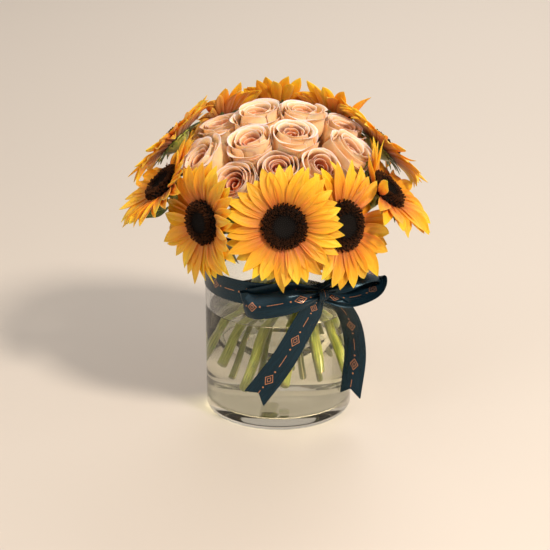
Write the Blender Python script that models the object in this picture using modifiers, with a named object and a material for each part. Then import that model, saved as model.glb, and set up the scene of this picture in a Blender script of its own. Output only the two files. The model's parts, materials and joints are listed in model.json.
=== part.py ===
"""Sunflowers and peach roses in a glass cylinder vase, tied round with a satin ribbon.

Metres, +Z up. The origin is the middle of the vase's foot and -Y is the front.
Azimuths are degrees from the front, positive towards +X.
"""
import math

import bmesh
import bpy
from mathutils import Matrix, Vector
from mathutils.bvhtree import BVHTree

MM = 0.001
GAP = 0.3 * MM                      # between pieces that touch

# Glass vase
VASE_DIAMETER = 150 * MM
VASE_HEIGHT = 200 * MM
GLASS_WALL = 4 * MM
GLASS_BASE = 12 * MM
HEEL_RADIUS = 7 * MM                # outer corner at the foot
VASE_STEPS = 48

# Water
WATER_LEVEL = 111 * MM              # above the foot

# Satin ribbon
RIBBON_WIDTH = 25 * MM
RIBBON_THICKNESS = 0.8 * MM
BAND_DROP = 52 * MM                 # rim of the glass down to the middle of the band
BOW_AZIMUTH = 30
KNOT_SIZE = 15 * MM
NOTCH_DEPTH = 9 * MM                # swallowtail ends
TAIL_HANG = 148 * MM                # height of the band over the table that the tails are cut for
KNOT_PINCH = 0.4                    # share of the ribbon's width where it is gathered at the knot
PINCH_LENGTH = 0.35                 # full width is reached this share of the way out
LOOP_LEAN = 0.45                    # the right loop's upper edge leans in by this slope

# Bunch of stems, bound at a waist and spiralling below and above it
WAIST_DROP = 57 * MM                # rim of the glass down to the waist
STEM_END_HEIGHT = 28 * MM           # lowest cut end above the floor of the glass
STEM_END_STEP = 7 * MM              # cut ends rise by this in turn, three by three
WALL_ROOM = 2.5 * MM                # water between the outer stems and the glass

# Sunflowers
SUNFLOWER_STEM_RADIUS = 5 * MM
SUNFLOWER_PETAL_LENGTH = 36 * MM
SUNFLOWER_PETALS = 19
PETAL_THICKNESS = 0.8 * MM
DISC_DOME = 4 * MM
DISC_DEPTH = 5 * MM
PETAL_RISE = 14                     # degrees that a free petal's lower half rises
PETAL_FALL = 4                      # degrees that its upper half falls
PETAL_WIDEST = 0.44                 # half a petal's widest part, as a share of its place in the ring
CALYX_DEPTH = 13 * MM
CALYX_WIDTH = 0.84                  # the calyx across its top, as a share of the disc
HEAD_ROOM = 5 * MM                  # roses keep this far from a disc's edge, for the petal roots

# Roses
ROSE_DIAMETER = 52 * MM
ROSE_DEPTH = 44 * MM
ROSE_STEM_RADIUS = 3 * MM
ROSE_STEPS = 14
ROSE_CALYX = 6.76 * MM              # radius of a rose's seat

# Heads: azimuth, overhang past the glass, height over the rim, faces azimuth, faces up, disc diameter
SUNFLOWERS = (
    (3, 26 * MM, 28 * MM, 0, 17, 46 * MM),
    (40, 26 * MM, 21 * MM, 42, 12, 53 * MM),
    (79, 35 * MM, 41 * MM, 75, 47, 48 * MM),
    (113, 41 * MM, 68 * MM, 112, 42, 48 * MM),
    (148, 38 * MM, 77 * MM, 150, 38, 46 * MM),
    (180, 36 * MM, 80 * MM, 180, 34, 46 * MM),
    (-148, 38 * MM, 77 * MM, -150, 38, 46 * MM),
    (-112, 43 * MM, 75 * MM, -108, 42, 46 * MM),
    (-84, 42 * MM, 45 * MM, -78, 46, 46 * MM),
    (-47, 29 * MM, 22 * MM, -48, 4, 46 * MM),
)
# The order in which the heads lie over each other, topmost first
OVERLAY = (0, 1, 9, 8, 2, 7, 3, 5, 4, 6)

# Blooms: azimuth, radius, height over the rim
OUTER_ROSES = (
    (0, 60 * MM, 77 * MM),
    (38, 70 * MM, 76 * MM),
    (74, 77 * MM, 84 * MM),
    (112, 76 * MM, 90 * MM),
    (152, 74 * MM, 92 * MM),
    (-166, 70 * MM, 94 * MM),
    (-122, 74 * MM, 90 * MM),
    (-70, 84 * MM, 76 * MM),
    (-34, 80 * MM, 62 * MM),
)
INNER_ROSES = (
    (24, 34 * MM, 102 * MM),
    (136, 38 * MM, 109 * MM),
    (-138, 34 * MM, 109 * MM),
    (-40, 44 * MM, 96 * MM),
)
BLOOM_FOCUS_DROP = 10 * MM          # blooms face away from this point under the rim
BLOOM_MIDDLE = 0.4                  # a bloom's middle, as a share of its depth below its top

# Leaves: sunflower that bears it, point of its stem, then azimuth, radius and height over the rim
LEAF_WIDTH = 17 * MM
LEAF_THICKNESS = 0.8 * MM
LEAVES = (
    (9, 6, ((-63, 62 * MM, -9 * MM), (-50, 66 * MM, -20 * MM), (-37, 66 * MM, -28 * MM))),
    (8, 7, ((-84, 112 * MM, 18 * MM), (-82, 130 * MM, 15 * MM), (-79, 145 * MM, 10 * MM))),
)

# Three rings of stems at the waist, each just clear of the one inside it
INNER_ROSE_RING = 6.6 * MM
OUTER_ROSE_ROOM = 1.6 * MM
SUNFLOWER_ROOM = 0.6 * MM
OUTER_ROSE_RING = INNER_ROSE_RING + 2 * ROSE_STEM_RADIUS + OUTER_ROSE_ROOM
SUNFLOWER_RING = OUTER_ROSE_RING + ROSE_STEM_RADIUS + SUNFLOWER_STEM_RADIUS + SUNFLOWER_ROOM

# Sideways lean of the stems below the waist
OUTER_ROSE_LEAN = 0.40
INNER_ROSE_LEAN = 0.22
WAIST_PULL = 1.3                    # how long a stem keeps its way above the waist
HEAD_PULL = 1.0                     # how early it turns to the axis of a head that looks level
RISING_PULL = 0.7                   # and how much later for one that looks up
STEM_STEPS = 7
TWIST = 74                          # degrees from a stem's place at the waist to its head

vase_radius = VASE_DIAMETER / 2
bore_radius = vase_radius - GLASS_WALL
waist_height = VASE_HEIGHT - WAIST_DROP
band_middle = VASE_HEIGHT - BAND_DROP
ribbon_back = vase_radius + GAP
bow_back = ribbon_back + RIBBON_THICKNESS + GAP


def clear_scene():
    for item in list(bpy.data.objects):
        bpy.data.objects.remove(item, do_unlink=True)


def new_collection(name):
    collection = bpy.data.collections.new(name)
    bpy.context.scene.collection.children.link(collection)
    return collection


def new_material(name, colour, roughness, metallic=0.0, transmission=0.0):
    material = bpy.data.materials.new(name)
    material.use_nodes = True
    shader = material.node_tree.nodes["Principled BSDF"]
    shader.inputs["Base Color"].default_value = (*colour, 1.0)
    shader.inputs["Roughness"].default_value = roughness
    shader.inputs["Metallic"].default_value = metallic
    shader.inputs["Transmission Weight"].default_value = transmission
    material.diffuse_color = (*colour, 1.0)
    return material


def add_object(name, data, collection, material=None):
    item = bpy.data.objects.new(name, data)
    collection.objects.link(item)
    if material and data is not None:
        data.materials.append(material)
    return item


def evaluated_mesh(item):
    """The object's shape with its modifiers, as a new mesh in world space."""
    bpy.context.view_layer.update()
    shape = item.evaluated_get(bpy.context.evaluated_depsgraph_get())
    mesh = bpy.data.meshes.new_from_object(shape)
    mesh.transform(item.matrix_world)
    return mesh


def weld(mesh):
    bm = bmesh.new()
    bm.from_mesh(mesh)
    bmesh.ops.remove_doubles(bm, verts=bm.verts, dist=0.00001)
    bmesh.ops.recalc_face_normals(bm, faces=bm.faces)
    bm.to_mesh(mesh)
    bm.free()
    return mesh


def around(azimuth, radius, height):
    """A point on a ring round the vase's axis."""
    angle = math.radians(azimuth)
    return Vector((radius * math.sin(angle), -radius * math.cos(angle), height))


def facing(azimuth, elevation):
    """Unit vector that looks out at an azimuth and up at an elevation."""
    rise = math.radians(elevation)
    return around(azimuth, math.cos(rise), math.sin(rise))


def head_frame(place, axis):
    """Matrix that puts local +Z on the axis of a flower head."""
    turn = axis.to_track_quat("Z", "Y").to_matrix().to_4x4()
    return Matrix.Translation(place) @ turn


def turned(name, profile, steps, collection, material, closed=False):
    """A turned shape: profile of (radius, height) in the XZ plane, with a Screw modifier."""
    mesh = bpy.data.meshes.new(name)
    count = len(profile)
    edges = [(i, i + 1) for i in range(count - 1)]
    if closed:
        edges.append((count - 1, 0))
    mesh.from_pydata([(radius, 0, height) for radius, height in profile], edges, [])
    item = add_object(name, mesh, collection, material)
    screw = item.modifiers.new("Turn", "SCREW")
    screw.steps = steps
    screw.render_steps = steps
    screw.use_merge_vertices = True
    screw.merge_threshold = 0.00001
    screw.use_smooth_shade = True
    return item


def arc(middle, radius, start, end, steps):
    """Points of (radius, height) on an arc, angles in degrees from the +radius direction."""
    angles = [math.radians(start + (end - start) * i / steps) for i in range(steps + 1)]
    return [(middle[0] + radius * math.cos(a), middle[1] + radius * math.sin(a)) for a in angles]


def tube(name, points, radii, collection, material=None):
    """A round rod along points, with its own radius at each."""
    curve = bpy.data.curves.new(name, "CURVE")
    curve.dimensions = "3D"
    curve.bevel_depth = 1.0
    curve.bevel_resolution = 2
    curve.use_fill_caps = True
    spline = curve.splines.new("POLY")
    spline.points.add(len(points) - 1)
    for control, point, radius in zip(spline.points, points, radii):
        control.co = (*point, 1)
        control.radius = radius
    guide = add_object(name + "_guide", curve, collection)
    mesh = weld(evaluated_mesh(guide))
    bpy.data.objects.remove(guide, do_unlink=True)
    mesh.name = name
    mesh.shade_smooth()
    mesh.set_sharp_from_angle(angle=math.radians(50))
    return add_object(name, mesh, collection, material)


# ---------------------------------------------------------------- vase, water


def make_vase(collection, material):
    rim = GLASS_WALL / 2
    profile = [(0, GLASS_BASE), (bore_radius - HEEL_RADIUS / 2, GLASS_BASE)]
    profile += [(bore_radius, GLASS_BASE + HEEL_RADIUS / 2)]
    profile += arc((bore_radius + rim, VASE_HEIGHT - rim), rim, 180, 0, 4)
    profile += arc((vase_radius - HEEL_RADIUS, HEEL_RADIUS), HEEL_RADIUS, 0, -90, 4)
    profile += [(0, 0)]
    return turned("vase", profile, VASE_STEPS, collection, material)


def make_water(collection, material, stem_cutters):
    radius = bore_radius - GAP
    floor = GLASS_BASE + GAP
    profile = [(0, WATER_LEVEL), (radius, WATER_LEVEL), (radius, floor + HEEL_RADIUS / 2)]
    profile += [(radius - HEEL_RADIUS / 2, floor), (0, floor)]
    item = turned("water", profile, VASE_STEPS, collection, material)
    cut = item.modifiers.new("Stems", "BOOLEAN")
    cut.operation = "DIFFERENCE"
    cut.solver = "EXACT"
    cut.operand_type = "COLLECTION"
    cut.collection = stem_cutters
    cut.use_self = True
    return item


# ---------------------------------------------------------------- stems


def stem_route(place, axis, ring, waist_azimuth, lean, end_height, seat):
    """Points from the cut end up to the back of the head.

    Below the waist the stem is straight and leans sideways, so that the bunch spirals.
    Above it one smooth curve leads to the head and arrives along the head's axis.
    """
    waist = around(waist_azimuth, ring, waist_height)
    sideways = around(waist_azimuth + 90, 1, 0)
    rise = sideways * lean + Vector((0, 0, 1))
    foot = waist - rise * (waist_height - end_height)
    back = place - axis * seat
    neck = back - axis * CALYX_DEPTH
    reach = (neck - waist).length
    start_pull = rise.normalized() * reach * WAIST_PULL
    end_pull = axis * reach * (HEAD_PULL - RISING_PULL * axis.z)
    points = [foot]
    for i in range(STEM_STEPS + 1):
        t = i / STEM_STEPS
        points.append(
            waist * (2 * t**3 - 3 * t**2 + 1)
            + start_pull * (t**3 - 2 * t**2 + t)
            + neck * (3 * t**2 - 2 * t**3)
            + end_pull * (t**3 - t**2)
        )
    return points, back


def make_stem(name, route, back, radius, flare, collection, material):
    """Stem whose top widens into the green seat of the head."""
    neck = route[-1]
    points = route + [neck.lerp(back, 0.45), neck.lerp(back, 0.8), back]
    radii = [radius] * len(route) + [radius + (flare - radius) * 0.35, flare * 0.92, flare]
    return tube(name, points, radii, collection, material)


def add_leaf(stem, start, triples, cutters):
    """A narrow pointed leaf that grows out of a stem."""
    widths = (0.25, 0.8, 1.0, 0.85, 0.5, 0.1)
    guides = [around(a, r, VASE_HEIGHT + h) for a, r, h in triples]
    path = smooth_route([start] + guides, len(widths) - 1)
    route = []
    for i, (point, width) in enumerate(zip(path, widths)):
        along = path[min(i + 1, len(path) - 1)] - path[max(i - 1, 0)]
        outward = Vector((point.x, point.y, 0))
        route.append((point, outward.cross(along), LEAF_WIDTH * width))
    leaf = strip(stem.name + "_leaf", route, LEAF_THICKNESS, cutters)
    unite(stem, leaf)
    return leaf


def make_stem_cutter(name, route, radius, collection):
    """Room for a stem in the water: the stem up to above the surface, one gap wider all round."""
    down = (route[0] - route[1]).normalized()
    points = [route[0] + down * GAP, route[1]]
    for point in route[2:]:
        if points[-1].z > WATER_LEVEL + 2 * radius:
            break
        points.append(point)
    cutter = tube(name + "_room", points, [radius + GAP] * len(points), collection)
    cutter.hide_render = True
    cutter.display_type = "WIRE"
    return cutter


# ---------------------------------------------------------------- sunflowers


def make_disc(name, frame, radius, collection, material):
    rounding = DISC_DEPTH * 0.3
    profile = [(0, DISC_DOME), (radius * 0.5, DISC_DOME * 0.8), (radius * 0.85, DISC_DOME * 0.25)]
    profile += [(radius, -rounding), (radius, rounding - DISC_DEPTH), (radius - rounding, -DISC_DEPTH)]
    profile += [(0, -DISC_DEPTH)]
    item = turned(name, profile, 14, collection, material)
    item.matrix_world = frame
    return item


def petal_outline(azimuth, wedge, start, length, bend):
    """Five points of one petal: two at its root, two at its widest and its tip."""
    first = math.radians(bend + PETAL_RISE)
    second = math.radians(bend - PETAL_FALL)
    root_up = -DISC_DEPTH - GAP
    middle_out = start + 0.5 * length * math.cos(first)
    middle_up = root_up + 0.5 * length * math.sin(first)
    tip_out = middle_out + 0.5 * length * math.cos(second)
    tip_up = middle_up + 0.5 * length * math.sin(second)
    widest = PETAL_WIDEST * wedge

    def at(angle, out, up):
        return Vector((out * math.cos(angle), out * math.sin(angle), up))

    return (
        at(azimuth - wedge / 2, start, root_up),
        at(azimuth + wedge / 2, start, root_up),
        at(azimuth + widest, middle_out, middle_up),
        at(azimuth - widest, middle_out, middle_up),
        at(azimuth, tip_out, tip_up),
    )


def petal_space(outline):
    """Closed shape one gap larger than a petal, for testing its clearance."""
    a, b, c, d, tip = outline
    up = (b - a).cross(d - a).normalized()
    over = [p + up * 3 * GAP for p in outline]
    under = [p - up * (PETAL_THICKNESS + 3 * GAP) for p in outline]
    faces = [(0, 1, 2, 3), (3, 2, 4), (8, 7, 6, 5), (9, 7, 8)]
    sides = [(1, 2), (2, 4), (4, 3), (3, 0), (0, 1)]
    faces += [(i, j, j + 5, i + 5) for i, j in sides]
    return over + under, faces


def settle_petal(azimuth, wedge, start, length, frame, obstacles):
    """Bend a petal back or forward, then shorten it, until it touches nothing."""
    for share in (1.0, 0.9, 0.78, 0.65, 0.5, 0.35, 0.2):
        for bend in (0, -12, 12, -24, 24, -36, 36, -48, 48, -60, 60, -72, 72):
            outline = petal_outline(azimuth, wedge, start, length * share, bend)
            points, faces = petal_space(outline)
            space = BVHTree.FromPolygons([frame @ p for p in points], faces)
            if not any(space.overlap(other) for other in obstacles):
                return outline
    return petal_outline(azimuth, wedge, start, length * 0.1, 0)


def make_corolla(name, frame, disc_radius, length, obstacles, collection, material):
    """Ring of ray petals in one piece, held between the disc and the calyx."""
    wedge = 2 * math.pi / SUNFLOWER_PETALS
    start = disc_radius + 2 * GAP
    inner = disc_radius * 0.72
    bm = bmesh.new()
    root_up = -DISC_DEPTH - GAP
    ring = []
    roots = []
    for i in range(SUNFLOWER_PETALS):
        angle = (i - 0.5) * wedge
        ring.append(bm.verts.new((inner * math.cos(angle), inner * math.sin(angle), root_up)))
        roots.append(bm.verts.new((start * math.cos(angle), start * math.sin(angle), root_up)))
    for i in range(SUNFLOWER_PETALS):
        after = (i + 1) % SUNFLOWER_PETALS
        bm.faces.new((ring[i], roots[i], roots[after], ring[after]))
        reach = length * (1 + 0.05 * math.sin(i * 2.4) + 0.04 * math.sin(i * 5.1))
        outline = settle_petal(i * wedge, wedge, start, reach, frame, obstacles)
        right = bm.verts.new(outline[2])
        left = bm.verts.new(outline[3])
        tip = bm.verts.new(outline[4])
        bm.faces.new((roots[i], left, right, roots[after]))
        bm.faces.new((left, tip, right))
    mesh = bpy.data.meshes.new(name)
    bm.to_mesh(mesh)
    bm.free()
    mesh.transform(frame)
    item = add_object(name, mesh, collection, material)
    thicken = item.modifiers.new("Thickness", "SOLIDIFY")
    thicken.thickness = PETAL_THICKNESS
    thicken.offset = -1
    return item


# ---------------------------------------------------------------- roses


def bloom_profile(radius, depth):
    """Half section of a bloom: cup of outer petals, a ring of inner ones and the bud."""
    return [
        (0, 0),
        (radius * 0.16, 0.02 * depth),
        (radius * 0.36, -0.12 * depth),
        (radius * 0.55, 0.03 * depth),
        (radius * 0.72, -0.14 * depth),
        (radius * 0.94, -0.02 * depth),
        (radius, -0.14 * depth),
        (radius * 0.95, -0.42 * depth),
        (radius * 0.74, -0.76 * depth),
        (radius * 0.30, -depth),
        (0, -depth),
    ]


def make_bloom(name, frame, walls, collection, material):
    """A bloom pressed flat where it meets its neighbours, which walls describe."""
    profile = bloom_profile(ROSE_DIAMETER / 2, ROSE_DEPTH)
    guide = turned(name + "_guide", profile, ROSE_STEPS, collection, None)
    guide.matrix_world = frame
    mesh = weld(evaluated_mesh(guide))
    bpy.data.objects.remove(guide, do_unlink=True)
    mesh.name = name
    for point, outward in walls:
        for vertex in mesh.vertices:
            past = (vertex.co - point).dot(outward)
            if past > 0:
                vertex.co -= outward * past
    mesh.shade_smooth()
    return add_object(name, mesh, collection, material)


# ---------------------------------------------------------------- ribbon


def make_band(collection, material):
    top = band_middle + RIBBON_WIDTH / 2
    foot = band_middle - RIBBON_WIDTH / 2
    front = ribbon_back + RIBBON_THICKNESS
    profile = [(front, top), (front, foot), (ribbon_back, foot), (ribbon_back, top)]
    return turned("ribbon_band", profile, VASE_STEPS, collection, material, closed=True)


def strip(name, route, thickness, collection, notch=0.0):
    """A thin length of ribbon or leaf: route holds points, width directions and widths."""
    bm = bmesh.new()
    rows = []
    for point, across, width in route:
        half = across.normalized() * width / 2
        rows.append([bm.verts.new(point + half * side) for side in (-1, 0, 1)])
    if notch:
        pull = (route[-2][0] - route[-1][0]).normalized() * notch
        rows[-1][1].co += pull
    for below, above in zip(rows, rows[1:]):
        for i in range(2):
            bm.faces.new((below[i], below[i + 1], above[i + 1], above[i]))
    mesh = bpy.data.meshes.new(name)
    bm.to_mesh(mesh)
    bm.free()
    item = add_object(name, mesh, collection)
    item.hide_render = True
    item.display_type = "WIRE"
    thicken = item.modifiers.new("Thickness", "SOLIDIFY")
    thicken.thickness = thickness
    thicken.offset = 0
    return item


def unite(item, piece):
    join = item.modifiers.new(piece.name, "BOOLEAN")
    join.operation = "UNION"
    join.solver = "EXACT"
    join.object = piece


def bow_point(sideways, outward, height):
    """Place by arc length along the glass, distance off the band and height over its middle."""
    azimuth = BOW_AZIMUTH + math.degrees(sideways / vase_radius)
    return around(azimuth, bow_back + outward, band_middle + height)


def smooth_route(points, count):
    """Points on one smooth curve through a few given ones."""
    ends = [points[0] * 2 - points[1], *points, points[-1] * 2 - points[-2]]
    result = []
    for i in range(count + 1):
        place = i / count * (len(points) - 1)
        k = min(int(place), len(points) - 2)
        t = place - k
        a, b, c, d = ends[k:k + 4]
        result.append(
            b
            + (c - a) * t / 2
            + (a * 2 - b * 5 + c * 4 - d) * t**2 / 2
            + (b * 3 - a - c * 3 + d) * t**3 / 2
        )
    return result


def pinched(place):
    """Share of the full width: gathered at the knot, full a third of the way out."""
    return KNOT_PINCH + (1 - KNOT_PINCH) * min(1.0, place / PINCH_LENGTH)


def loop_route(points, across):
    """Out from the knot and back to it."""
    path = smooth_route(points, 12)
    last = len(path) - 1
    route = []
    for i, point in enumerate(path):
        from_knot = 1 - abs(2 * i / last - 1)
        route.append((point, across, RIBBON_WIDTH * pinched(from_knot)))
    return route


def tail_route(points):
    path = smooth_route(points, 8)
    route = []
    for i, point in enumerate(path):
        along = path[min(i + 1, 8)] - path[max(i - 1, 0)]
        outward = Vector((point.x, point.y, 0))
        across = outward.cross(along)
        route.append((point, across, RIBBON_WIDTH * pinched(i / 8)))
    return route


def make_bow(collection, cutters, material):
    knot_out = KNOT_SIZE * 0.4
    up = Vector((0, 0, 1))
    lean_back = up - facing(BOW_AZIMUTH, 0) * LOOP_LEAN
    left = [(0, 4, 0), (-30, 3, 3), (-62, 3, -4), (-76, 7, -8), (-62, 13, -8), (-30, 15, -1), (0, 8, 0)]
    right = [(0, 4, 0), (26, 8, 5), (52, 22, 6), (66, 33, 2), (56, 31, -3), (28, 18, -3), (0, 8, 0)]
    left_tail = [(0, 6, -2), (-14, 4, -28), (-36, 2, -70), (-64, 2, -112)]
    right_tail = [(0, 6, -2), (20, 10, -30), (38, 15, -78), (42, 4, -126)]

    def places(triples, fall=1.0):
        return [bow_point(s * MM, o * MM, h * MM * fall) for s, o, h in triples]

    fall = band_middle / TAIL_HANG

    pieces = [
        strip("loop_left", loop_route(places(left), up), RIBBON_THICKNESS, cutters),
        strip("loop_right", loop_route(places(right), lean_back), RIBBON_THICKNESS, cutters),
        strip("tail_left", tail_route(places(left_tail, fall)), RIBBON_THICKNESS, cutters, NOTCH_DEPTH),
        strip("tail_right", tail_route(places(right_tail, fall)), RIBBON_THICKNESS, cutters, NOTCH_DEPTH),
    ]
    bpy.ops.mesh.primitive_uv_sphere_add(segments=10, ring_count=6, radius=KNOT_SIZE / 2)
    knot = bpy.context.object
    knot.name = "ribbon_bow"
    for holder in list(knot.users_collection):
        holder.objects.unlink(knot)
    collection.objects.link(knot)
    knot.data.materials.append(material)
    turn = Matrix.Rotation(math.radians(BOW_AZIMUTH), 4, "Z")
    shape = Matrix.Diagonal((0.9, 0.8, 1.15, 1))
    knot.data.transform(Matrix.Translation(bow_point(0, knot_out, 0)) @ turn @ shape)
    for piece in pieces:
        unite(knot, piece)
    return knot


# ---------------------------------------------------------------- arrangement


def pressing_walls(index, places, spheres):
    """Flat walls between a bloom and its neighbours, half way between their middles."""
    walls = []
    here = places[index]
    for other, place in enumerate(places):
        if other == index:
            continue
        outward = (place - here).normalized()
        walls.append(((here + place) / 2 - outward * GAP, outward))
    for middle, radius in spheres:
        outward = (middle - here).normalized()
        walls.append((middle - outward * radius, outward))
    return walls


def root_guard(frame, disc_radius):
    """Space that a head keeps for its own petal roots, as wide as HEAD_ROOM round its disc."""
    bm = bmesh.new()
    depth = DISC_DEPTH + 2 * PETAL_THICKNESS
    radius = disc_radius + HEAD_ROOM
    place = frame @ Matrix.Translation((0, 0, -depth / 2))
    bmesh.ops.create_cone(
        bm, cap_ends=True, segments=24, radius1=radius, radius2=radius, depth=depth, matrix=place
    )
    tree = BVHTree.FromBMesh(bm)
    bm.free()
    return tree


def tree_of(item):
    mesh = evaluated_mesh(item)
    points = [v.co.copy() for v in mesh.vertices]
    faces = [tuple(p.vertices) for p in mesh.polygons]
    bpy.data.meshes.remove(mesh)
    return BVHTree.FromPolygons(points, faces)


def main():
    clear_scene()
    flowers = new_collection("sunflowers_in_a_vase")
    cutters = new_collection("cutters")
    stem_rooms = new_collection("stem_rooms")
    glass = new_material("clear_glass", (0.86, 0.90, 0.88), 0.02, transmission=1.0)
    wet = new_material("water", (0.90, 0.94, 0.92), 0.0, transmission=1.0)
    satin = new_material("navy_satin", (0.013, 0.025, 0.035), 0.3)
    yellow = new_material("sunflower_petal", (0.95, 0.45, 0.02), 0.5)
    brown = new_material("sunflower_disc", (0.012, 0.006, 0.004), 0.9)
    green = new_material("sunflower_stem", (0.25, 0.32, 0.06), 0.5)
    peach = new_material("rose_petal", (0.90, 0.55, 0.36), 0.5)
    dark_green = new_material("rose_stem", (0.16, 0.17, 0.05), 0.5)

    vase = make_vase(flowers, glass)
    band = make_band(flowers, satin)
    bow = make_bow(flowers, cutters, satin)
    standing = [vase, band, bow]

    seat = DISC_DEPTH + PETAL_THICKNESS + 2 * GAP
    lean = sunflower_lean()
    heads = []
    leaves = []
    for number, (azimuth, overhang, height, look, elevation, disc) in enumerate(SUNFLOWERS):
        name = f"sunflower_{number + 1:02d}"
        axis = facing(look, elevation)
        place = around(azimuth, vase_radius + overhang, VASE_HEIGHT + height)
        frame = head_frame(place, axis)
        waist_azimuth = number * 360 / len(SUNFLOWERS) + SUNFLOWERS[0][0] - TWIST
        end = GLASS_BASE + STEM_END_HEIGHT + number % 3 * STEM_END_STEP
        route, back = stem_route(place, axis, SUNFLOWER_RING, waist_azimuth, lean, end, seat)
        calyx = disc / 2 * CALYX_WIDTH
        stem = make_stem(name + "_stem", route, back, SUNFLOWER_STEM_RADIUS, calyx, flowers, green)
        make_stem_cutter(name, route, SUNFLOWER_STEM_RADIUS, stem_rooms)
        for bearer, start, triples in LEAVES:
            if bearer == number:
                leaves.append(add_leaf(stem, route[start], triples, cutters))
        standing += [stem, make_disc(name + "_disc", frame, disc / 2, flowers, brown)]
        heads.append((name, frame, disc / 2))

    roses = [(rose, OUTER_ROSE_RING, OUTER_ROSE_LEAN, OUTER_ROSES) for rose in OUTER_ROSES]
    roses += [(rose, INNER_ROSE_RING, INNER_ROSE_LEAN, INNER_ROSES) for rose in INNER_ROSES]
    focus = Vector((0, 0, VASE_HEIGHT - BLOOM_FOCUS_DROP))
    places = [around(a, r, VASE_HEIGHT + h) for (a, r, h), _, _, _ in roses]
    axes = [(place - focus).normalized() for place in places]
    middles = [p - axis * ROSE_DEPTH * BLOOM_MIDDLE for p, axis in zip(places, axes)]
    spheres = [(frame @ Vector((0, 0, -DISC_DEPTH)), radius + HEAD_ROOM) for _, frame, radius in heads]
    for number, (rose, ring, rose_lean, group) in enumerate(roses):
        name = f"rose_{number + 1:02d}"
        frame = head_frame(places[number], axes[number])
        walls = pressing_walls(number, middles, spheres)
        bloom = make_bloom(name + "_bloom", frame, walls, flowers, peach)
        waist_azimuth = group.index(rose) * 360 / len(group) + group[0][0] - TWIST
        end = GLASS_BASE + STEM_END_HEIGHT + (number + 1) % 3 * STEM_END_STEP
        route, back = stem_route(
            places[number], axes[number], ring, waist_azimuth, rose_lean, end, ROSE_DEPTH + GAP
        )
        stem = make_stem(name + "_stem", route, back, ROSE_STEM_RADIUS, ROSE_CALYX, flowers, dark_green)
        make_stem_cutter(name, route, ROSE_STEM_RADIUS, stem_rooms)
        standing += [bloom, stem]

    make_water(flowers, wet, stem_rooms)

    obstacles = {item.name: tree_of(item) for item in standing}
    for leaf in leaves:
        obstacles["leaf of " + leaf.name] = tree_of(leaf)
    for name, frame, disc_radius in heads:
        obstacles[name + "_guard"] = root_guard(frame, disc_radius)
    for number in OVERLAY:
        name, frame, disc_radius = heads[number]
        others = [tree for key, tree in obstacles.items() if not key.startswith(name)]
        corolla = make_corolla(
            name + "_petals", frame, disc_radius, SUNFLOWER_PETAL_LENGTH, others, flowers, yellow
        )
        obstacles[corolla.name] = tree_of(corolla)


def sunflower_lean():
    """Lean that brings the lowest sunflower stem to the wall of the glass."""
    drop = waist_height - GLASS_BASE - STEM_END_HEIGHT
    reach = bore_radius - WALL_ROOM - SUNFLOWER_STEM_RADIUS
    return math.sqrt(reach**2 - SUNFLOWER_RING**2) / drop


main()
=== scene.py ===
# %% [markdown]
# # Sunflowers and roses in a glass cylinder
#
# A hand-tied bunch stands in a clear glass cylinder of water, with a satin ribbon tied round the
# glass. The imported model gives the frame: where the glass, the stems, the heads and the ribbon are.
# This script builds the finished look of each piece in that place, one step at a time.

# %% Load the frame
import json
import math
import random

import bmesh
import bpy
import numpy as np
from mathutils import Matrix, Vector

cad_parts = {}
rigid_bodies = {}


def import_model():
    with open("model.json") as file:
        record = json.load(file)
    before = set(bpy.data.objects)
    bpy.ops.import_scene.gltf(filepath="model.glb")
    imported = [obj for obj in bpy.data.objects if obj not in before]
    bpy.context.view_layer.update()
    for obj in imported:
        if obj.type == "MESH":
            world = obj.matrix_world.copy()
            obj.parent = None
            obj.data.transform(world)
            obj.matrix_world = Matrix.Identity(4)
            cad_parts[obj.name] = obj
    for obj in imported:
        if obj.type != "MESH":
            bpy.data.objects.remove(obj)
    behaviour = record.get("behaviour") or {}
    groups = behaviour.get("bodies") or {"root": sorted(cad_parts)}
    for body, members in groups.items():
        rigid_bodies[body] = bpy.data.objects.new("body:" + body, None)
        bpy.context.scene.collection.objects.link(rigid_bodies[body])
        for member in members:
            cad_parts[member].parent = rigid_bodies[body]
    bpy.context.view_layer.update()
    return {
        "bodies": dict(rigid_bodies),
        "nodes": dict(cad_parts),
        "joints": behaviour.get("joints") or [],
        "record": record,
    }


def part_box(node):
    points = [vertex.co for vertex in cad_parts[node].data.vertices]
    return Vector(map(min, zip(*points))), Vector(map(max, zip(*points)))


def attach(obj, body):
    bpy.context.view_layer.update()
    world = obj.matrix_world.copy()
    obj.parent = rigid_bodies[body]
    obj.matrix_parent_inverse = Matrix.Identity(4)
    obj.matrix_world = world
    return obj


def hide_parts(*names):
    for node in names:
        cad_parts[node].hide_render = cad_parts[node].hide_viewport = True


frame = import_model()
nodes = frame["nodes"]

# %% [markdown]
# ## Sizes that the pieces share
#
# Everything that another piece has to meet is measured on the frame: the glass from the vase's
# box, the ribbon's level from the band's box, the water from its own box. The few values that
# can't be measured, such as the wall of the glass, are named here once.

# %% Sizes of the glass, the water and the ribbon
MM = 0.001
vase_low, vase_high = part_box("vase")
water_low, water_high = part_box("water")
band_low, band_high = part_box("ribbon_band")
glass_radius = (vase_high.x - vase_low.x) / 2
glass_wall = 4 * MM
rim_height = vase_high.z
bore_radius = glass_radius - glass_wall
glass_floor = water_low.z
water_level = water_high.z
band_middle = (band_low.z + band_high.z) / 2
ribbon_width = band_high.z - band_low.z
WAIST_BELOW_RIM = 57 * MM           # where the bunch is bound
waist_height = rim_height - WAIST_BELOW_RIM
print("glass radius", round(glass_radius, 4), "water level", round(water_level, 4))
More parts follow.
